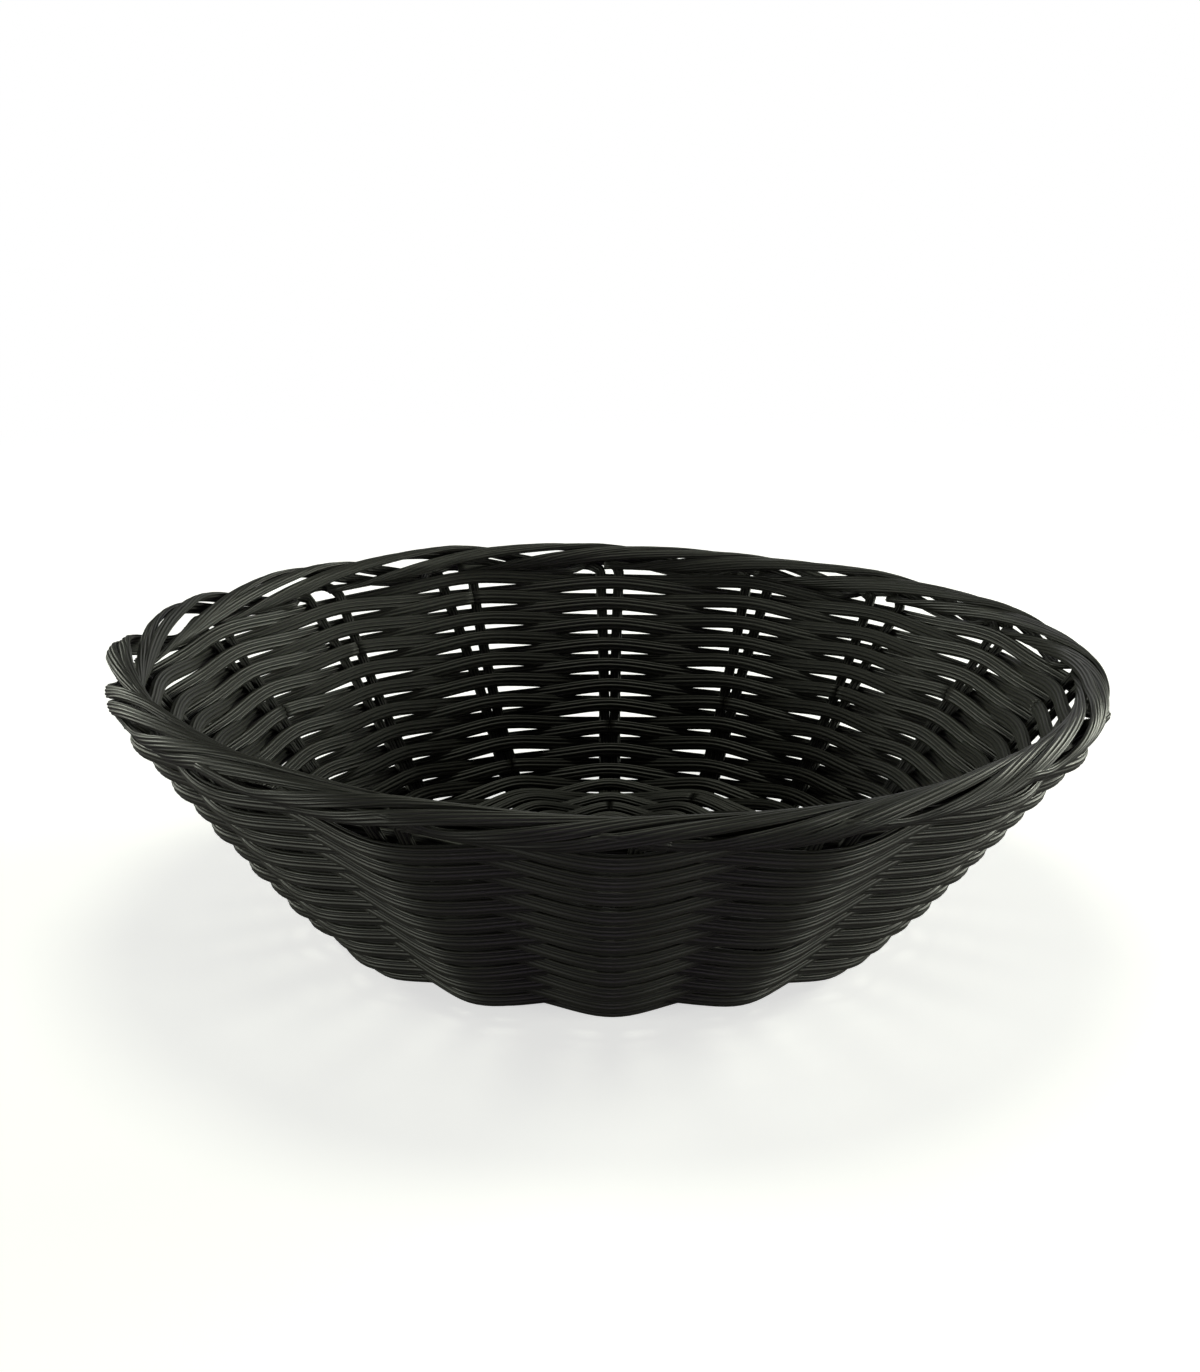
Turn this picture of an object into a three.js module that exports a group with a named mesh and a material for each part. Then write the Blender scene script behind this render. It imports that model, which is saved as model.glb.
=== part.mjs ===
// Round woven fruit basket: canes crossed in the base, turned up as stakes and
// laid down into a rolled border, with strands woven in and out between them.
// Millimetres, +Z up, origin on the table under the middle of the base.
import * as THREE from 'three';

// Driving dimensions
const rimDiameter = 250;          // outside of the border
const basketHeight = 70;          // table to the top of the border
const stakeCount = 16;            // pairs of canes standing in the wall
const baseFlatRadius = 70;        // where the base starts to turn up
const turnUpRadius = 12;          // bend between base and wall
const wallAngle = THREE.MathUtils.degToRad(52); // wall above the table
const caneWidth = 2.8;            // flat cane of the stakes
const caneThickness = 1.6;
const weaverThickness = 1.4;      // strand of the rows
const touchGap = 0.3;             // air between pieces that touch

// Weaving rows, placed by the distance from the middle measured over the surface
const baseRowCount = 11;
const baseRowStart = 24.2;
const baseRowPitch = 4.06;
const wallRowCount = 23;
const wallRowStart = 68.6;
const wallRowPitch = 3.47;
const rowSideGap = 0.45;          // between neighbouring rows

// The crossing in the middle of the base: four pairs over four pairs
const pairsInGroup = stakeCount / 4;
const crossPitch = caneWidth + 0.45;
const crossReach = 14;            // canes run side by side this far out
const spokeStart = 22;            // from here each pair lies on its own radius

// The two canes of a pair drift apart towards the rim
const pairSpreadAtSpoke = 1.65;   // half of the distance between their middles
const pairSpreadAtRim = 3.4;
const stakeTop = 146;             // distance over the surface where they bend

// The rolled border is a hollow rope of the canes' own ends
const ropeRadius = 4.2;
const ropeStart = THREE.MathUtils.degToRad(-78);
const ropeTurn = THREE.MathUtils.degToRad(108);     // round the rope, per stake
const ropePairAngle = THREE.MathUtils.degToRad(24); // either side of the pair
const borderLength = 2.7;         // stake spacings before the cut end
const borderStep = 0.3;

// Worked out from these
const stakeStep = 2 * Math.PI / stakeCount;
const weaveOffset = (caneThickness + weaverThickness) / 2 + touchGap;
const surfaceLow = weaveOffset + weaverThickness / 2;
const turnUpLength = turnUpRadius * wallAngle;
const ropeCentreRadius = rimDiameter / 2 - ropeRadius - caneThickness / 2;
const ropeCentreHeight = basketHeight - ropeRadius - caneThickness / 2;

const strandColour = { stake: 0x1e201a, wall: 0x1b1c18, base: 0x191a17 };

function strandMaterial(colour, roughness) {
  return new THREE.MeshStandardMaterial({ color: colour, roughness, metalness: 0 });
}

// Middle surface of base and wall at a distance over the surface from the centre
function surfaceAt(distance) {
  const past = distance - baseFlatRadius;
  if (past <= 0) return { radius: distance, height: surfaceLow, angle: 0 };
  const angle = Math.min(past / turnUpRadius, wallAngle);
  const straight = Math.max(past - turnUpLength, 0);
  return {
    radius: baseFlatRadius + turnUpRadius * Math.sin(angle) + straight * Math.cos(angle),
    height: surfaceLow + turnUpRadius * (1 - Math.cos(angle)) + straight * Math.sin(angle),
    angle,
  };
}

function radial(angle) {
  return new THREE.Vector3(Math.cos(angle), Math.sin(angle), 0);
}

function sideways(angle) {
  return new THREE.Vector3(-Math.sin(angle), Math.cos(angle), 0);
}

function outwardNormal(angle, slope) {
  return radial(angle).multiplyScalar(Math.sin(slope)).setZ(-Math.cos(slope));
}

// Point of the middle surface beside a stake: shifted along the round of the
// basket, and lifted off the surface towards the outside
function pointBesideStake(angle, distance, shift, lift) {
  const at = surfaceAt(distance);
  return radial(angle).multiplyScalar(at.radius).setZ(at.height)
    .addScaledVector(sideways(angle), shift)
    .addScaledVector(outwardNormal(angle, at.angle), lift);
}

function pairSpread(distance) {
  const way = THREE.MathUtils.clamp((distance - spokeStart) / (stakeTop - spokeStart), 0, 1);
  return THREE.MathUtils.lerp(pairSpreadAtSpoke, pairSpreadAtRim, way);
}

// A straight flat bar bent so that each of its cross-sections sits at one section
// of the path. A section is { point, out, along }; along may be left out, and is
// then the direction from the section before to the section after.
function bentStrand(sections, width, thickness) {
  const last = sections.length - 1;
  const geometry = new THREE.BoxGeometry(width, thickness, last, 1, 1, last);
  const frames = sections.map((section, i) => {
    const before = sections[Math.max(i - 1, 0)].point;
    const after = sections[Math.min(i + 1, last)].point;
    const along = (section.along ?? after.clone().sub(before)).clone().normalize();
    const across = section.out.clone().cross(along).normalize();
    return { point: section.point, across, out: along.clone().cross(across) };
  });
  const position = geometry.getAttribute('position');
  for (let i = 0; i < position.count; i++) {
    const frame = frames[Math.round(position.getZ(i) + last / 2)];
    const moved = frame.point.clone()
      .addScaledVector(frame.across, position.getX(i))
      .addScaledVector(frame.out, position.getY(i));
    position.setXYZ(i, moved.x, moved.y, moved.z);
  }
  geometry.computeVertexNormals();
  return geometry;
}

// Weavers -----------------------------------------------------------------

// One row goes once round, outside one stake pair and inside the next, and its
// two ends meet in the middle of a pair that it passes inside
function weaverRow(row, distance, width) {
  const isOutside = (stake) => (stake + row) % 2 === 0;
  const seam = (5 * row + 1) % stakeCount;
  const firstStake = isOutside(seam) ? seam + 1 : seam;
  const halfPass = pairSpread(distance) + caneWidth / 2 + 0.7;
  const sections = [];
  const addSection = (stake, shift) => {
    const angle = stake * stakeStep;
    const lift = isOutside(stake) ? weaveOffset : -weaveOffset;
    sections.push({
      point: pointBesideStake(angle, distance, shift, lift),
      out: outwardNormal(angle, surfaceAt(distance).angle),
      along: sideways(angle),
    });
  };
  addSection(firstStake, touchGap / 2);
  addSection(firstStake, halfPass);
  for (let i = 1; i < stakeCount; i++) {
    addSection(firstStake + i, -halfPass);
    addSection(firstStake + i, halfPass);
  }
  addSection(firstStake, -halfPass);
  addSection(firstStake, -touchGap / 2);
  return bentStrand(sections, width, weaverThickness);
}

// Canes -------------------------------------------------------------------

// From the middle of the base out along the crossing, on to the cane's own radius,
// up the wall and round the rope of the border. The group's axis is the direction
// that it leaves the crossing in; place counts the group's canes across it.
function halfCane(axis, place, layerHeight) {
  const pair = Math.floor(place / 2);
  const side = place % 2 === 0 ? -1 : 1;
  const stakeAngle = axis + (pair - (pairsInGroup - 1) / 2) * stakeStep;
  const crossShift = (place - (2 * pairsInGroup - 1) / 2) * crossPitch;
  const down = new THREE.Vector3(0, 0, -1);
  const sections = [0, crossReach].map((reach) => ({
    point: radial(axis).multiplyScalar(reach).setZ(layerHeight)
      .addScaledVector(sideways(axis), crossShift),
    out: down,
  }));

  const turnEnd = baseFlatRadius + turnUpLength;
  const turnPoints = [0, 0.35, 0.7, 1].map((way) => baseFlatRadius + way * turnUpLength);
  const distances = [spokeStart, ...turnPoints, (turnEnd + stakeTop) / 2, stakeTop];
  for (const distance of distances) {
    sections.push({
      point: pointBesideStake(stakeAngle, distance, side * pairSpread(distance), 0),
      out: outwardNormal(stakeAngle, surfaceAt(distance).angle),
    });
  }
  sections.push(...bendAtRim(stakeAngle, side), ...borderRun(stakeAngle, side));
  return sections;
}

// Where a stake leans over into the border: the leading cane turns tightly and the
// trailing one swings over it, so that they lie side by side again
function bendAtRim(stakeAngle, side) {
  const shiftAndRise = side > 0
    ? [[0.5, 1.4], [2.2, 2.6], [5, 3.2]]
    : [[0.4, 3.4], [2.2, 5.2], [5.6, 6.2]];
  return shiftAndRise.map(([shift, rise]) => ({
    point: pointBesideStake(stakeAngle, stakeTop + rise, side * pairSpreadAtRim + shift,
      shift * 0.15),
    out: outwardNormal(stakeAngle, wallAngle),
  }));
}

function borderRun(stakeAngle, side) {
  const sections = [];
  const steps = Math.round(borderLength / borderStep);
  for (let i = 1; i <= steps; i++) {
    const along = i * borderStep;
    const around = ropeStart + ropeTurn * along - side * ropePairAngle;
    const angle = stakeAngle + along * stakeStep;
    const out = radial(angle).multiplyScalar(Math.cos(around)).setZ(Math.sin(around));
    const point = radial(angle).multiplyScalar(ropeCentreRadius).setZ(ropeCentreHeight)
      .addScaledVector(out, ropeRadius);
    sections.push({ point, out });
  }
  return sections;
}

// A whole cane runs from one cut end in the border, down the wall, across the base
// and up the other side to its second cut end
function wholeCane(group, place) {
  const axis = stakeStep / 2 + group * Math.PI / 2;
  const layer = (caneThickness + touchGap) / 2;
  const layerHeight = surfaceLow + (group === 0 ? layer : -layer);
  const far = halfCane(axis + Math.PI, 2 * pairsInGroup - 1 - place, layerHeight);
  const near = halfCane(axis, place, layerHeight);
  return bentStrand([...far.slice(1).reverse(), ...near], caneWidth, caneThickness);
}

// Assembly ----------------------------------------------------------------

const basket = new THREE.Group();

function addPiece(name, geometry, material) {
  const mesh = new THREE.Mesh(geometry, material);
  mesh.name = name;
  basket.add(mesh);
}

const twoDigits = (number) => String(number).padStart(2, '0');

for (let group = 0; group < 2; group++) {
  for (let place = 0; place < 2 * pairsInGroup; place++) {
    const name = `stake_cane_${twoDigits(group * 2 * pairsInGroup + place + 1)}`;
    addPiece(name, wholeCane(group, place), strandMaterial(strandColour.stake, 0.45));
  }
}

for (let row = 0; row < baseRowCount; row++) {
  const distance = baseRowStart + row * baseRowPitch;
  const geometry = weaverRow(row, distance, baseRowPitch - rowSideGap);
  addPiece(`base_weaver_${twoDigits(row + 1)}`, geometry, strandMaterial(strandColour.base, 0.5));
}

for (let row = 0; row < wallRowCount; row++) {
  const distance = wallRowStart + row * wallRowPitch;
  const geometry = weaverRow(row, distance, wallRowPitch - rowSideGap);
  addPiece(`wall_weaver_${twoDigits(row + 1)}`, geometry, strandMaterial(strandColour.wall, 0.48));
}

export default basket;
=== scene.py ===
import math

import bpy
import numpy as np
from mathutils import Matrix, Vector


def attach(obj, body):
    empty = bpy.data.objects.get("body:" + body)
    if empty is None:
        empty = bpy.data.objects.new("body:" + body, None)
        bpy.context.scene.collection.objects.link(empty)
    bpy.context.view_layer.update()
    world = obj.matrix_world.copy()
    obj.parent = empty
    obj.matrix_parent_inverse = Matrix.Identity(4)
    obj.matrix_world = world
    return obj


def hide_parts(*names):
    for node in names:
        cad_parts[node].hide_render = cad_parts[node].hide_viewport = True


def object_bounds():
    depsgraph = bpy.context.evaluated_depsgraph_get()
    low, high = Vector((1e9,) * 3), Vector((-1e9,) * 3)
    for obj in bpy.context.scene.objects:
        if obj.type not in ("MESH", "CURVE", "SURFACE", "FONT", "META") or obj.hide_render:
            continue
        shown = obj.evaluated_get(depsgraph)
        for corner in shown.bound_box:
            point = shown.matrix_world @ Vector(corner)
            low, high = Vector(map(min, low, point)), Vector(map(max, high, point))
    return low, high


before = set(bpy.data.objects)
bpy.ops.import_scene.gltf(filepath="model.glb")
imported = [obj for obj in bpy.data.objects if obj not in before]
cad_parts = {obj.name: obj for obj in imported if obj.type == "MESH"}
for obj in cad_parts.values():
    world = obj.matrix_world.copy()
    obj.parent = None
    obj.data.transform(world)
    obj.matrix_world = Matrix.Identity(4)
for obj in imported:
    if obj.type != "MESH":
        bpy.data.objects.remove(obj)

# Round woven fruit basket in black poly rattan: sixteen canes crossed in the base, turned up as
# pairs of stakes and laid down into a rolled border, with strands woven in and out between them.
# Lengths are in millimetres, and are turned to metres where a mesh is made.
cadLow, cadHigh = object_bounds()
mm = 0.001

basket = {
    "rimRadius": max(cadHigh.x, cadHigh.y) / mm,
    "height": cadHigh.z / mm,
    "stakes": 16,                      # pairs of canes round the wall
    "baseFlat": 70.0,                  # radius where the base turns up
    "turnUp": 12.0,                    # radius of that bend
    "wallAngle": math.radians(51.6),
    "surfaceLow": 3.6,                 # middle surface of the base above the table
    "seed": 11,                        # for the small unevenness of hand weaving
    "unevenStake": math.radians(0.5),
    "tilt": 1.6, "tiltToward": math.radians(215),      # the wall is a little higher on one side
    "wave": 0.9, "waveFrom": math.radians(222),        # and waves three times round
    "levelBelow": 8.0, "levelOver": 50.0,              # the table keeps the lowest part level
}
basket["step"] = 2 * math.pi / basket["stakes"]
rng = np.random.default_rng(basket["seed"])
# where the pairs stand round the basket, not quite evenly
stakeAngles = basket["step"] * np.arange(basket["stakes"]) \
    + basket["unevenStake"] * rng.standard_normal(basket["stakes"])


def surfaceAt(distance):
    # Middle surface of the bowl, by the distance s from the centre over the surface:
    # flat up to baseFlat, then an arc of radius turnUp through wallAngle, then straight.
    # Gives radius, height and slope as arrays.
    past = np.asarray(distance, float) - basket["baseFlat"]
    slope = np.clip(past / basket["turnUp"], 0, basket["wallAngle"])
    straight = np.clip(past - basket["turnUp"] * basket["wallAngle"], 0, None)
    radius = basket["baseFlat"] + np.minimum(past, 0) + basket["turnUp"] * np.sin(slope) \
        + straight * np.cos(slope)
    height = basket["surfaceLow"] + basket["turnUp"] * (1 - np.cos(slope)) + straight * np.sin(slope)
    return radius, height, slope


def onBowl(angle, distance, lift=0.0, shift=0.0):
    # Point over the bowl at an angle and a surface distance, moved by lift along the
    # outside normal (sin slope, -cos slope) and by shift along the round of the bowl.
    # Returns the points and their outside normals, both (n, 3).
    angle, distance, lift, shift = np.broadcast_arrays(angle, distance, lift, shift)
    radius, height, slope = surfaceAt(distance)
    up = np.array([0, 0, 1.0])
    radial = np.stack([np.cos(angle), np.sin(angle), 0 * angle], -1)
    sideways = np.stack([-np.sin(angle), np.cos(angle), 0 * angle], -1)
    normal = radial * np.sin(slope)[:, None] - up * np.cos(slope)[:, None]
    point = radial * radius[:, None] + up * height[:, None]
    return point + normal * lift[:, None] + sideways * shift[:, None], normal


def handFormed(points):
    # Nothing woven by hand is quite round or level. The height rises by
    # (r / rimRadius)^2 * (tilt cos(a - tiltToward) + wave cos 3(a - waveFrom)),
    # times a share that goes from 0 at levelBelow to 1 at levelOver above it.
    angle = np.arctan2(points[:, 1], points[:, 0])
    rise = basket["tilt"] * np.cos(angle - basket["tiltToward"]) \
        + basket["wave"] * np.cos(3 * (angle - basket["waveFrom"]))
    rise = rise * (np.hypot(points[:, 0], points[:, 1]) / basket["rimRadius"]) ** 2
    rise = rise * np.clip((points[:, 2] - basket["levelBelow"]) / basket["levelOver"], 0, 1)
    return points + np.array([0, 0, 1.0]) * rise[:, None]


def smoothPath(points, normals, spacing):
    # A Catmull-Rom curve through the points, each leg cut into equal steps of about the
    # spacing; the normals are carried along by the same weights.
    data = np.concatenate([points, normals], 1)
    data = np.concatenate([2 * data[:1] - data[1:2], data, 2 * data[-1:] - data[-2:-1]])
    legs = np.linalg.norm(np.diff(points, axis=0), axis=1)
    counts = np.maximum(1, np.round(legs / spacing).astype(int))
    legStart = np.repeat(np.cumsum(counts) - counts, counts)
    leg = np.append(np.repeat(np.arange(len(legs)), counts), len(legs) - 1)
    t = np.append((np.arange(counts.sum()) - legStart) / np.repeat(counts, counts), 1.0)[:, None]
    p0, p1, p2, p3 = (data[leg + i] for i in range(4))
    curve = 0.5 * (2 * p1 + (p2 - p0) * t + (2 * p0 - 5 * p1 + 4 * p2 - p3) * t ** 2
                   + (3 * p1 - p0 - 3 * p2 + p3) * t ** 3)
    return curve[:, :3], curve[:, 3:]


def ribbedSection(width, thickness, ribs, ribDepth):
    # Outline of an extruded cane, anticlockwise: the oval |2x/width|^e + |2y/thickness|^e = 1
    # cut into equal lengths and drawn in by ribDepth * (1 - |sin(pi * ribs * s)|), s from 0 to 1
    # round it, so the ribs are round and the grooves between them are sharp.
    e, pointsPerRib = 2.3, 6
    turn = np.linspace(0, 2 * np.pi, 721)
    x = width / 2 * np.sign(np.cos(turn)) * np.abs(np.cos(turn)) ** (2 / e)
    y = thickness / 2 * np.sign(np.sin(turn)) * np.abs(np.sin(turn)) ** (2 / e)
    length = np.append(0, np.cumsum(np.hypot(np.diff(x), np.diff(y))))
    s = np.arange(pointsPerRib * ribs) / (pointsPerRib * ribs)
    outline = np.stack([np.interp(s * length[-1], length, x), np.interp(s * length[-1], length, y)], 1)
    forward = np.roll(outline, -1, 0) - np.roll(outline, 1, 0)
    outward = np.stack([forward[:, 1], -forward[:, 0]], 1)
    outward /= np.linalg.norm(outward, axis=1, keepdims=True)
    return outline - outward * (ribDepth * (1 - np.abs(np.sin(np.pi * ribs * s))))[:, None]


def sweptPiece(name, points, normals, section, uStart=0.0, lean=0.0):
    # Carries the section along the path: vertex(i, j) = point_i + x_j across_i + y_j out_i,
    # where out is the normal made square to the path and across = out x along, both then
    # turned about the path by the lean.
    # The u of the UV map is metres along the strand, v goes once round the section.
    along = np.gradient(points, axis=0)
    along /= np.linalg.norm(along, axis=1, keepdims=True)
    out = normals - along * np.sum(normals * along, 1, keepdims=True)
    out /= np.linalg.norm(out, axis=1, keepdims=True)
    across = np.cross(out, along)
    lean = np.broadcast_to(lean, len(points))[:, None]
    across, out = across * np.cos(lean) - out * np.sin(lean), out * np.cos(lean) + across * np.sin(lean)
    rows, cols = len(points), len(section)
    vertices = points[:, None] + section[None, :, :1] * across[:, None] \
        + section[None, :, 1:] * out[:, None]

    i, j = np.meshgrid(np.arange(rows - 1), np.arange(cols), indexing="ij")
    corners = [i * cols + j, i * cols + (j + 1) % cols,
               (i + 1) * cols + (j + 1) % cols, (i + 1) * cols + j]
    sides = np.stack(corners, -1).reshape(-1, 4)
    caps = np.concatenate([np.arange(cols)[::-1], (rows - 1) * cols + np.arange(cols)])
    length = uStart + np.append(0, np.cumsum(np.linalg.norm(np.diff(points, axis=0), axis=1))) * mm
    u = np.stack([length[i], length[i], length[i + 1], length[i + 1]], -1).reshape(-1)
    v = np.stack([j, j + 1, j + 1, j], -1).reshape(-1) / cols
    capUv = np.stack([np.repeat(length[[0, -1]], cols), np.tile(np.arange(cols) / cols, 2)], 1)

    mesh = bpy.data.meshes.new(name)
    mesh.vertices.add(rows * cols)
    mesh.vertices.foreach_set("co", (vertices * mm).astype(np.float32).ravel())
    loops = np.concatenate([sides.ravel(), caps])
    mesh.loops.add(len(loops))
    mesh.loops.foreach_set("vertex_index", loops.astype(np.int32))
    starts = np.append(np.arange(len(sides)) * 4, [len(sides) * 4, len(sides) * 4 + cols])
    mesh.polygons.add(len(starts))
    mesh.polygons.foreach_set("loop_start", starts.astype(np.int32))
    uv = mesh.uv_layers.new(name="strand")
    uv.data.foreach_set("uv", np.concatenate([np.stack([u, v], 1), capUv]).astype(np.float32).ravel())
    mesh.update(calc_edges=True)
    smooth = np.ones(len(starts), bool)
    smooth[-2:] = False                # the cut ends stay crisp
    mesh.polygons.foreach_set("use_smooth", smooth)
    mesh.validate()
    piece = bpy.data.objects.new(name, mesh)
    bpy.context.scene.collection.objects.link(piece)
    return piece


def hexColour(text):
    # sRGB hex to linear: c / 12.92 up to 0.04045, and ((c + 0.055) / 1.055)^2.4 above it
    srgb = np.array([int(text[i:i + 2], 16) for i in (1, 3, 5)]) / 255
    linear = np.where(srgb <= 0.04045, srgb / 12.92, ((srgb + 0.055) / 1.055) ** 2.4)
    return (*linear.tolist(), 1.0)


def addNode(tree, kind, values=None, links=None, **settings):
    # A node with its settings, the values of its sockets and the sockets linked into it
    node = tree.nodes.new(kind)
    for key, value in settings.items():
        setattr(node, key, value)
    for key, value in (values or {}).items():
        node.inputs[key].default_value = value
    for key, socket in (links or {}).items():
        tree.links.new(socket, node.inputs[key])
    return node


rattan = {
    "ribs": 9,                         # all the way round a strand
    # the groove colour is painted shade in the grooves, the crest colour a painted highlight on the
    # ribs
    "grooveShade": "#040404", "crestHighlight": "#2e2f28", "dusty": "#30312b",
    "dust": 0.3,                       # share of the dusty colour where it is dullest
    "roughGroove": 0.6, "roughCrest": 0.36, "specular": 0.5,
    "ior": 1.5,                        # polyethylene
    "lineLength": 30.3, "lineWidth": 0.19, "lineDepth": 0.02,     # draw lines of the die
    "lineShare": 0.18,                 # how much they show beside the ribs
    "girth": 11.4,                     # once round a woven strand
    "patch": 25.0,                     # size of the duller patches
}
caneRattan = {**rattan, "crestHighlight": "#2a2b25", "lineWidth": 0.15, "girth": 9.0}


def extrudedPolyRattan(name, look):
    # Poly rattan is polyethylene extruded through a ribbed die. The eye gets a satin black,
    # polished by use on the crests of the ribs and matt in their grooves, with faint lines
    # drawn lengthwise by the die and patches dulled by a little dust. The colour is painted
    # lighter on the crests as a highlight and darker in the grooves as shade.
    material = bpy.data.materials.new(name)
    material.use_nodes = True
    tree = material.node_tree
    tree.nodes.clear()
    strand = addNode(tree, "ShaderNodeUVMap", uv_map="strand")
    place = addNode(tree, "ShaderNodeTexCoord")
    part = addNode(tree, "ShaderNodeSeparateXYZ", links={"Vector": strand.outputs["UV"]})

    # the crests of the ribs: (1 - cos(2 pi * ribs * v)) / 2
    phase = addNode(tree, "ShaderNodeMath", {1: 2 * math.pi * look["ribs"]},
                    {0: part.outputs["Y"]}, operation="MULTIPLY")
    wave = addNode(tree, "ShaderNodeMath", links={0: phase.outputs[0]}, operation="COSINE")
    crestHighlight = addNode(tree, "ShaderNodeMapRange", {"From Min": 1.0, "From Max": -1.0},
                    {"Value": wave.outputs[0]})

    # draw lines: noise stretched along the strand
    lineScale = (1 / (look["lineLength"] * mm), look["girth"] / look["lineWidth"], 1.0)
    stretch = addNode(tree, "ShaderNodeMapping", {"Scale": lineScale},
                      {"Vector": strand.outputs["UV"]})
    lines = addNode(tree, "ShaderNodeTexNoise", {"Scale": 1.0, "Detail": 2.0, "Roughness": 0.6},
                    {"Vector": stretch.outputs["Vector"]}, noise_dimensions="2D")
    shade = addNode(tree, "ShaderNodeMix", {0: look["lineShare"]},
                    {2: crestHighlight.outputs[0], 3: lines.outputs[0]}, data_type="FLOAT")
    # colour from painted shade in the grooves to a painted highlight on the crests of the ribs
    ramp = addNode(tree, "ShaderNodeValToRGB", links={"Fac": shade.outputs[0]})
    low, high = ramp.color_ramp.elements
    low.position, low.color = 0.2, hexColour(look["grooveShade"])
    high.position, high.color = 0.8, hexColour(look["crestHighlight"])

    # dusty patches over several strands
    patches = addNode(tree, "ShaderNodeTexNoise",
                      {"Scale": 1 / (look["patch"] * mm), "Detail": 3.0, "Roughness": 0.55},
                      {"Vector": place.outputs["Object"]})
    dust = addNode(tree, "ShaderNodeMapRange",
                   {"From Min": 0.4, "From Max": 0.75, "To Max": look["dust"]},
                   {"Value": patches.outputs[0]})
    colour = addNode(tree, "ShaderNodeMix", {7: hexColour(look["dusty"])},
                     {0: dust.outputs[0], 6: ramp.outputs["Color"]}, data_type="RGBA")

    roughness = addNode(tree, "ShaderNodeMapRange",
                        {"To Min": look["roughGroove"], "To Max": look["roughCrest"]},
                        {"Value": shade.outputs[0]})
    bump = addNode(tree, "ShaderNodeBump", {"Strength": 0.35, "Distance": look["lineDepth"] * mm},
                   {"Height": lines.outputs[0]})
    shader = addNode(tree, "ShaderNodeBsdfPrincipled",
                     {"IOR": look["ior"], "Specular IOR Level": look["specular"]},
                     {"Base Color": colour.outputs[2], "Roughness": roughness.outputs[0],
                      "Normal": bump.outputs["Normal"]})
    addNode(tree, "ShaderNodeOutputMaterial", links={"Surface": shader.outputs["BSDF"]})
    return material


def finishPiece(piece, material, node):
    # Gives a piece its material, hides the CAD node it stands for and attaches the piece to the root
    # body
    piece.data.materials.append(material)
    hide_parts(node)
    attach(piece, "root")


weaver = {
    "wallWidth": 4.25, "wallThickness": 2.85,
    "baseWidth": 4.9, "baseThickness": 2.5,
    "ribDepth": 0.45,
    "wallLift": 2.75, "baseLift": 1.9,       # how far a pass stands off the middle surface
    "liftFrom": 72.0, "liftTo": 90.0,        # it grows between these distances
    "sharpness": 0.82,                 # near 1 it bends only at the stakes, near 0 it is a sine wave
    "tension": 0.9,                    # 1 is straight from stake to stake, 0 follows the circle
    "shingle": math.radians(16),       # strands of the wall lie a little over one another
    "stepsPerStake": 16,
    "seamSkip": 5, "seamGap": 0.15,    # stakes from seam to seam, and half of the gap in it
    "unevenRow": 0.2, "unevenPass": 0.135,
    "patternStep": 1.7,                # so that no two strands carry the same draw lines
}
wovenRows = {
    # distance of the first row from the centre, over the surface, and from row to row
    "base": {"count": 11, "start": 24.2, "pitch": 4.06},
    "wall": {"count": 23, "start": 68.6, "pitch": 3.52},
}


def wovenRow(row, distance):
    # With p the angle counted in stakes: lift = +-lift * asin(q cos(pi p)) / asin q, with q the
    # sharpness, so out at one pair and in at the next. The radius is times
    # 1 - tension (1 - cos(step / 2)) (1 - cos(2 pi p)) / 2, which draws it to the chord from stake
    # to stake. Along the wall it strays by unevenRow * (n1 sin(a + p1) + n2 sin(3a + p2)).
    # The two ends meet in the middle of a pass inside the bowl.
    stakes, step = basket["stakes"], basket["step"]
    anyPhase = 6.3                     # a whole turn
    seam = (weaver["seamSkip"] * row + 1) % stakes
    seam += 1 - (seam + row) % 2
    gap = weaver["seamGap"] / float(surfaceAt(distance)[0]) / step
    place = seam + np.linspace(gap, stakes - gap, stakes * weaver["stepsPerStake"] + 1)
    turns = np.arange(2 * stakes + 3)
    angle = np.interp(place, turns, stakeAngles[turns % stakes] + 2 * math.pi * (turns // stakes))
    sharp = weaver["sharpness"]
    wave = np.arcsin(sharp * np.cos(math.pi * place)) / math.asin(sharp) * (-1) ** row
    passes = 1 + weaver["unevenPass"] * rng.uniform(-1, 1, stakes)
    size = np.interp(place % stakes, np.arange(stakes + 1), np.append(passes, passes[0]))
    lift = np.interp(distance, [weaver["liftFrom"], weaver["liftTo"]],
                     [weaver["baseLift"], weaver["wallLift"]])
    stray = rng.standard_normal() * np.sin(angle + rng.uniform(0, anyPhase)) \
        + rng.standard_normal() * np.sin(3 * angle + rng.uniform(0, anyPhase))
    points, normals = onBowl(angle, distance + weaver["unevenRow"] * stray, lift * wave * size)
    chord = weaver["tension"] * (1 - math.cos(step / 2)) * (1 - np.cos(2 * math.pi * place)) / 2
    points[:, :2] *= 1 - chord[:, None]
    return handFormed(points), normals


rowMaterials = {
    # the base strands get a dimmer painted highlight on their rib crests
    "base": extrudedPolyRattan("poly_rattan_base", {**rattan, "crestHighlight": "#24251f"}),
    "wall": extrudedPolyRattan("poly_rattan_wall", rattan),
}
for kind, rows in wovenRows.items():
    section = ribbedSection(weaver[kind + "Width"], weaver[kind + "Thickness"],
                            rattan["ribs"], weaver["ribDepth"])
    for row in range(rows["count"]):
        distance = rows["start"] + row * rows["pitch"]
        points, normals = wovenRow(row, distance)
        lean = weaver["shingle"] * float(surfaceAt(distance)[2]) / basket["wallAngle"]
        strand = sweptPiece(f"{kind}_strand_{row + 1:02d}", points, normals, section,
                            weaver["patternStep"] * row, lean)
        finishPiece(strand, rowMaterials[kind], f"{kind}_weaver_{row + 1:02d}")
    print(f"{kind} woven, {rows['count']} rows")


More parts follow.
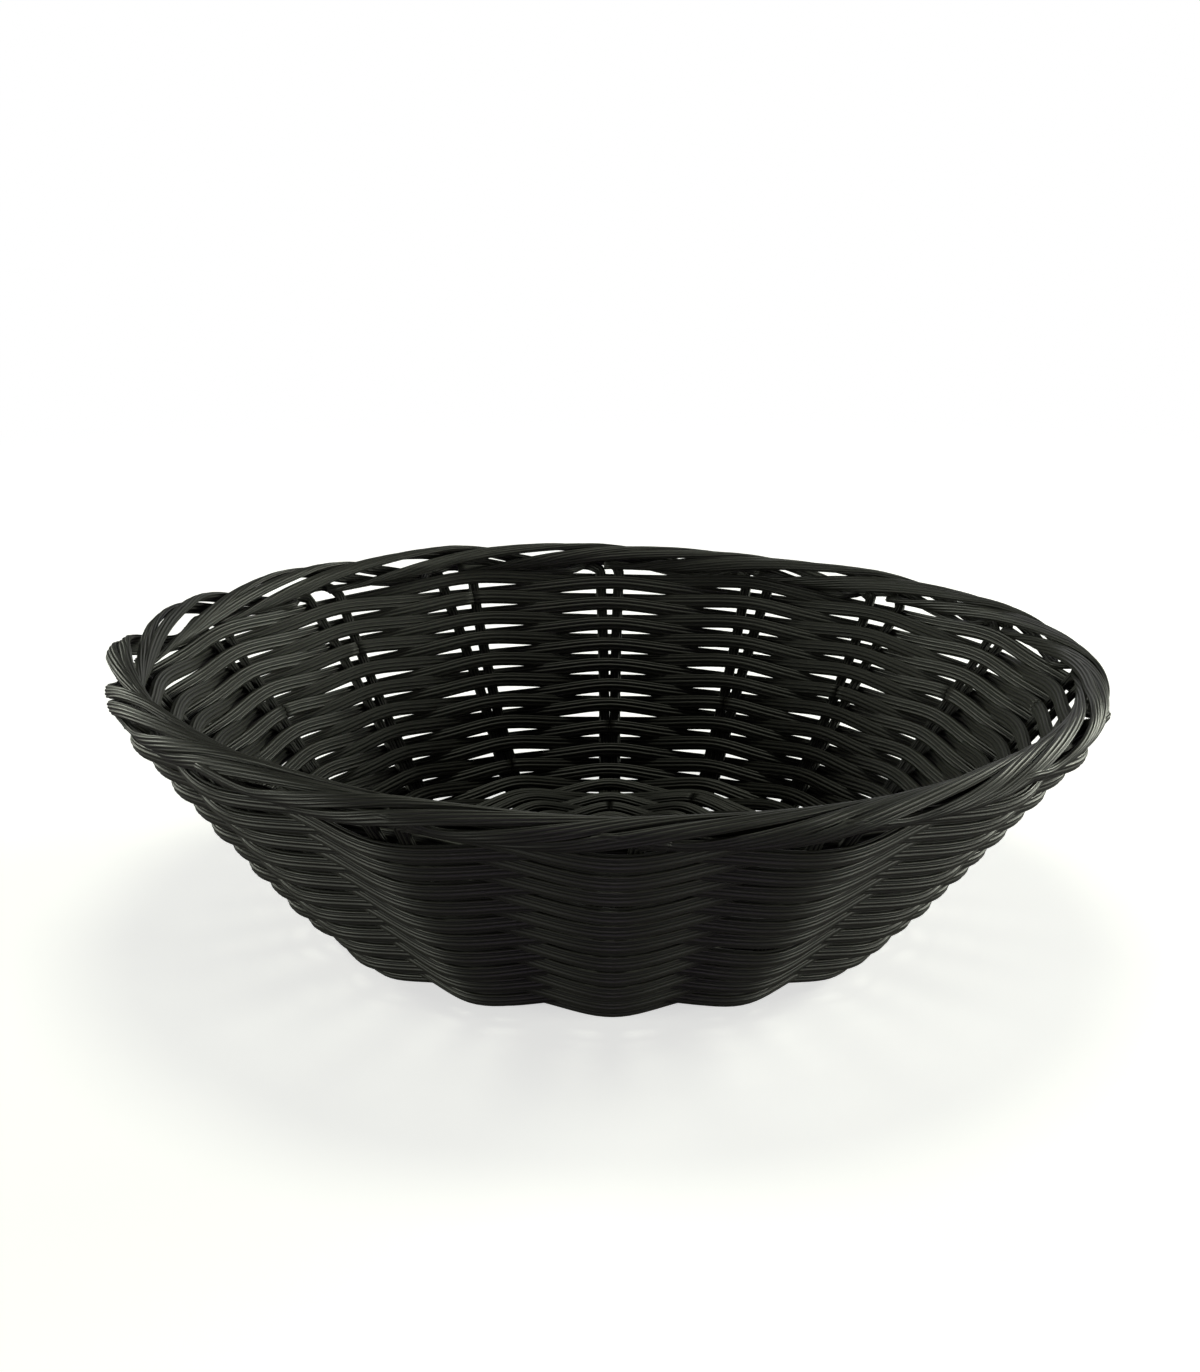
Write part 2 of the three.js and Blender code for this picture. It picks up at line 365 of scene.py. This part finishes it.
cane = {
    "width": 3.4, "thickness": 2.0, "ribDepth": 0.28,
    "crossPitch": 3.25,                # side by side in the crossing of the base
    "crossReach": [0.0, 8.0, 14.0],    # straight this far, then spread by spokeStart
    "crossLayer": 1.15,                # one group above the middle surface, one below
    "spokeStart": 22.0,
    "spreadLow": 1.65, "spreadHigh": 4.0,    # half of the distance between a pair's canes
    "spreadFrom": 95.0, "spreadPower": 1.7,
    "top": 147.5,                      # distance over the surface where they bend into the border
    "unevenSpread": 0.9, "unevenLean": 1.2, "leanOver": 75.0,
    "stepLength": 2.2, "patternStep": 2.3,
    # the bend into the border, as shift along the rim and rise past the top: the leading cane of
    # a pair turns tightly and the trailing one swings over it
    "leadingBend": [[0.6, 1.0], [2.6, 2.2], [6.0, 3.0]],
    "trailingBend": [[0.4, 2.0], [2.4, 3.8], [6.5, 4.8]],
    "bendLift": 0.15, "bendSpread": 0.9,
}
border = {
    # a cane's way round the rolled border: stakes gone past, degrees round it (-90 below,
    # 0 outside, 90 on top, 180 inside) and distance from its middle
    "past": [0.3, 0.55, 0.8, 1.05, 1.3, 1.55, 1.8, 2.05, 2.3, 2.55, 2.8, 3.0],
    "round": [-75, -42, -4, 38, 70, 90, 108, 130, 160, 200, 250, 290],
    "reach": [4.1, 4.3, 4.3, 4.2, 4.1, 3.9, 3.6, 3.2, 2.7, 2.3, 2.2, 2.4],
    "size": 4.2,
    "pairAngle": 26.0,                 # degrees round it to either side of the pair's middle
    "closeFrom": 1.3, "closeTo": 2.2, "closed": 0.35,     # then the two canes come together
    "unevenReach": 0.35, "unevenAngle": 8.0,
    "pressed": 3.2, "pressedToward": math.radians(278),   # flatter on one side
    "loose": {4: 0.8, 5: 1.8, 6: 2.6, 7: 2.8, 8: 1.2},    # how far these stakes' canes stand off
    "looseFrom": 0.2, "looseOver": 2.0, "looseFan": 0.2,
    "looseOut": 0.7, "looseUp": 0.8,
}
stakeSpread = cane["spreadHigh"] + cane["unevenSpread"] * rng.standard_normal(basket["stakes"])
stakeLean = cane["unevenLean"] * rng.standard_normal(basket["stakes"])


def crossingRun(axis, shift, layer):
    # Straight across the middle of the base: reach * axis + shift * sideways, one layer up or down
    reach = np.array(cane["crossReach"])
    points = np.stack([reach * math.cos(axis) - shift * math.sin(axis),
                       reach * math.sin(axis) + shift * math.cos(axis),
                       0 * reach + basket["surfaceLow"] + layer], 1)
    return points, np.tile([0, 0, -1.0], (len(reach), 1))


def wallRun(angle, stake, side):
    # Out on the stake's own radius and up the wall. Half of the pair's distance goes from
    # spreadLow by spreadPower of the way from spreadFrom to the top, and the pair leans over
    # more and more from where the base turns up. At the top it bends into the border.
    # The points lie close together round the turn-up, and far apart on either side of it.
    turnUpAt = basket["baseFlat"]
    distance = np.concatenate([np.linspace(cane["spokeStart"], turnUpAt - 4, 5),
                               np.linspace(turnUpAt, turnUpAt + 14, 6),
                               np.linspace(turnUpAt + 26, cane["top"], 6)])
    way = np.clip((distance - cane["spreadFrom"]) / (cane["top"] - cane["spreadFrom"]), 0, 1)
    spread = cane["spreadLow"] + (stakeSpread[stake] - cane["spreadLow"]) * way ** cane["spreadPower"]
    lean = stakeLean[stake] * np.clip((distance - turnUpAt) / cane["leanOver"], 0, 1)
    wall, wallOut = onBowl(angle, distance, 0.0, side * spread + lean)

    shift, rise = np.array(cane["leadingBend"] if side > 0 else cane["trailingBend"]).T
    bent, bentOut = onBowl(angle, cane["top"] + rise, shift * cane["bendLift"],
                           side * stakeSpread[stake] * cane["bendSpread"] + shift + lean[-1])
    return np.concatenate([wall, bent]), np.concatenate([wallOut, bentOut])


def borderRun(angle, stake, side):
    # Round the border's middle circle: point = centre(a) + reach * (cos w radial + sin w up), with
    # w from the list, -+ pairAngle for the two canes of a pair. Loose canes stand off by
    # sin^2 of their way, and the top is pressed down by pressed * ((1 + cos(a - pressedToward)) / 2)^2.
    past = np.array(border["past"])
    closing = np.interp(past, [border["closeFrom"], border["closeTo"]], [1, border["closed"]])
    around = np.radians(np.array(border["round"]) - side * border["pairAngle"] * closing
                        + border["unevenAngle"] * rng.standard_normal() * np.minimum(past, 1))
    reach = np.array(border["reach"]) \
        + border["unevenReach"] * rng.standard_normal() * np.sin(math.pi * past / past[-1])
    outside = border["size"] + cane["thickness"] / 2
    angle = angle + past * basket["step"]
    radial = np.stack([np.cos(angle), np.sin(angle), 0 * angle], 1)
    up = np.array([0, 0, 1.0])
    out = radial * np.cos(around)[:, None] + up * np.sin(around)[:, None]
    points = radial * (basket["rimRadius"] - outside) + up * (basket["height"] - outside) \
        + out * reach[:, None]

    window = np.sin(math.pi * np.clip((past - border["looseFrom"]) / border["looseOver"], 0, 1)) ** 2
    standOff = border["loose"].get(stake, 0) * (1 + border["looseFan"] * side) * window
    points += standOff[:, None] * (border["looseOut"] * radial + border["looseUp"] * up)
    pressed = border["pressed"] * ((1 + np.cos(angle - border["pressedToward"])) / 2) ** 2
    points[:, 2] -= pressed * (1 + np.sin(around)) / 2
    return points, out


def halfCane(axis, place, layer):
    # From the middle of the base out along the crossing, up the wall and round the border.
    # The axis is the direction the group leaves in; place counts its canes across it.
    pairs, step = basket["stakes"] // 4, basket["step"]
    pair, side = place // 2, (1 if place % 2 else -1)
    angle = axis + (pair - (pairs - 1) / 2) * step
    stake = round(angle / step) % basket["stakes"]
    angle += stakeAngles[stake] - stake * step
    crossShift = (place - (2 * pairs - 1) / 2) * cane["crossPitch"]
    runs = (crossingRun(axis, crossShift, layer), wallRun(angle, stake, side),
            borderRun(angle, stake, side))
    points, normals = (np.concatenate(part) for part in zip(*runs))
    return handFormed(points), normals


def wholeCane(group, place):
    # From one end in the border, down the wall, across the base and up to its second end
    axis = basket["step"] / 2 + group * math.pi / 2
    layer = cane["crossLayer"] if group == 0 else -cane["crossLayer"]
    near = halfCane(axis, place, layer)
    far = halfCane(axis + math.pi, basket["stakes"] // 2 - 1 - place, layer)
    points, normals = (np.concatenate([b[:0:-1], a]) for a, b in zip(near, far))
    return smoothPath(points, normals, cane["stepLength"])


caneSection = ribbedSection(cane["width"], cane["thickness"], caneRattan["ribs"], cane["ribDepth"])
caneMaterial = extrudedPolyRattan("poly_rattan_stake", caneRattan)
for group in range(2):
    for place in range(basket["stakes"] // 2):
        number = group * basket["stakes"] // 2 + place + 1
        points, normals = wholeCane(group, place)
        strand = sweptPiece(f"stake_strand_{number:02d}", points, normals, caneSection,
                            cane["patternStep"] * number)
        finishPiece(strand, caneMaterial, f"stake_cane_{number:02d}")
print(f"stakes and border done, {basket['stakes']} canes")


# studio and camera, in metres
studio = {
    "floorRings": [0.3, 0.8, 2.0, 6.0],
    "floorClear": 0.25, "floorFade": 0.9,    # from lit paper to plain white, by distance
    "floorGlow": 0.62,                 # keeps the paper light beside a black basket
    "paper": "#f4f4f4", "bounce": "#6a6270",       # as seen, and as it lights the basket
    "room": 0.03,
    # place, what it points at, width, watts and colour
    "lamps": {
        "overhead": ((0.0, 0.25, 1.1), (0, 0, 0.03), 0.5, 2.8, "#fbffe9"),
        "left_side": ((-1.1, -0.5, 0.14), (0, 0, 0.03), 0.5, 6.6, "#fbffee"),
        "right_side": ((1.1, -0.45, 0.12), (0, 0, 0.03), 0.5, 7.92, "#fbffee"),
        "left_end": ((-0.95, 0.6, 0.35), (-0.1, 0, 0.05), 0.4, 4.05, "#fbffee"),
        "right_end": ((0.95, 0.5, 0.3), (0.1, 0, 0.05), 0.4, 7.2, "#fbffee"),
        "front": ((0.0, -1.4, 0.02), (0, 0, 0.04), 0.6, 2.3, "#efd8ff"),
        "back": ((0.2, 1.3, 0.5), (0, 0, 0.05), 0.6, 1.0, "#ffffff"),
    },
}
camera = {"place": (-0.0013, -0.4596, 0.1942), "aim": (-0.0026, 0.0, 0.0580), "lens": 48.5}


def mattPaper(name):
    # White paper, uncoated: matt, with no gloss at all. It is lit near the basket and runs out
    # into plain white by a smooth step of the distance from the centre. What it sends back to
    # the basket is dimmer than what is seen, as from a smaller sheet.
    material = bpy.data.materials.new(name)
    material.use_nodes = True
    tree = material.node_tree
    tree.nodes.clear()
    place = addNode(tree, "ShaderNodeTexCoord")
    away = addNode(tree, "ShaderNodeVectorMath", links={0: place.outputs["Object"]}, operation="LENGTH")
    fade = addNode(tree, "ShaderNodeMapRange",
                   {"From Min": studio["floorClear"], "From Max": studio["floorFade"]},
                   {"Value": away.outputs["Value"]}, interpolation_type="SMOOTHSTEP")
    paper = addNode(tree, "ShaderNodeBsdfDiffuse", {"Color": hexColour(studio["paper"])})
    white = addNode(tree, "ShaderNodeEmission", {"Color": (1, 1, 1, 1), "Strength": 1.0})
    glow = addNode(tree, "ShaderNodeEmission", {"Color": (1, 1, 1, 1), "Strength": studio["floorGlow"]})
    lit = addNode(tree, "ShaderNodeAddShader", links={0: paper.outputs[0], 1: glow.outputs[0]})
    seen = addNode(tree, "ShaderNodeMixShader",
                   links={0: fade.outputs[0], 1: lit.outputs[0], 2: white.outputs[0]})
    bounce = addNode(tree, "ShaderNodeBsdfDiffuse", {"Color": hexColour(studio["bounce"])})
    ray = addNode(tree, "ShaderNodeLightPath")
    mix = addNode(tree, "ShaderNodeMixShader",
                  links={0: ray.outputs["Is Camera Ray"], 1: bounce.outputs[0], 2: seen.outputs[0]})
    addNode(tree, "ShaderNodeOutputMaterial", links={"Surface": mix.outputs[0]})
    return material


def whiteFloor():
    # A flat disc: the centre, then rings of n points (r cos a, r sin a, 0), joined by a fan
    # inside the first ring and by quads between one ring and the next
    n = 96                             # enough to look round
    angle = np.arange(n) * 2 * math.pi / n
    ring = np.stack([np.cos(angle), np.sin(angle), 0 * angle], 1)
    radii = np.array(studio["floorRings"])
    points = np.concatenate([[[0, 0, 0]], (ring[None] * radii[:, None, None]).reshape(-1, 3)])
    k = np.arange(n)
    following = (k + 1) % n
    fan = np.stack([0 * k, 1 + k, 1 + following], 1)
    inner = 1 + n * np.arange(len(radii) - 1)[:, None]
    quads = np.stack([inner + k, inner + n + k, inner + n + following, inner + following], -1)
    mesh = bpy.data.meshes.new("floor")
    mesh.from_pydata(points.tolist(), [], fan.tolist() + quads.reshape(-1, 4).tolist())
    mesh.materials.append(mattPaper("white_paper"))
    floor = bpy.data.objects.new("floor", mesh)
    bpy.context.scene.collection.objects.link(floor)


def aimed(item, place, aim):
    # Puts a light or a camera at a place, its -Z turned to the aim and its Y kept up
    item.location = place
    item.rotation_euler = (Vector(aim) - Vector(place)).to_track_quat("-Z", "Y").to_euler()
    bpy.context.scene.collection.objects.link(item)


def softBox(name, place, aim, width, watts, colour):
    # A round studio light with a plain white or nearly white cloth
    light = bpy.data.lights.new(name, "AREA")
    light.shape, light.size, light.energy = "DISK", width, watts
    light.color = hexColour(colour)[:3]
    aimed(bpy.data.objects.new(name, light), place, aim)


def whiteRoom():
    # The room behind is seen white, and lights the basket only a little
    world = bpy.data.worlds.new("white_room")
    bpy.context.scene.world = world
    world.use_nodes = True
    tree = world.node_tree
    tree.nodes.clear()
    ray = addNode(tree, "ShaderNodeLightPath")
    seen = addNode(tree, "ShaderNodeBackground", {"Color": (1, 1, 1, 1), "Strength": 1.0})
    room = addNode(tree, "ShaderNodeBackground", {"Color": (1, 1, 1, 1), "Strength": studio["room"]})
    mix = addNode(tree, "ShaderNodeMixShader",
                  links={0: ray.outputs["Is Camera Ray"], 1: room.outputs[0], 2: seen.outputs[0]})
    addNode(tree, "ShaderNodeOutputWorld", links={"Surface": mix.outputs[0]})


whiteFloor()
for name, settings in studio["lamps"].items():
    softBox(name, *settings)
whiteRoom()
bpy.context.scene.view_settings.view_transform = "Standard"

lens = bpy.data.cameras.new("camera")
lens.lens = camera["lens"]
lens.sensor_width = 36.0
lens.clip_start = 0.01
viewer = bpy.data.objects.new("camera", lens)
aimed(viewer, camera["place"], camera["aim"])
bpy.context.scene.camera = viewer
print("studio done")
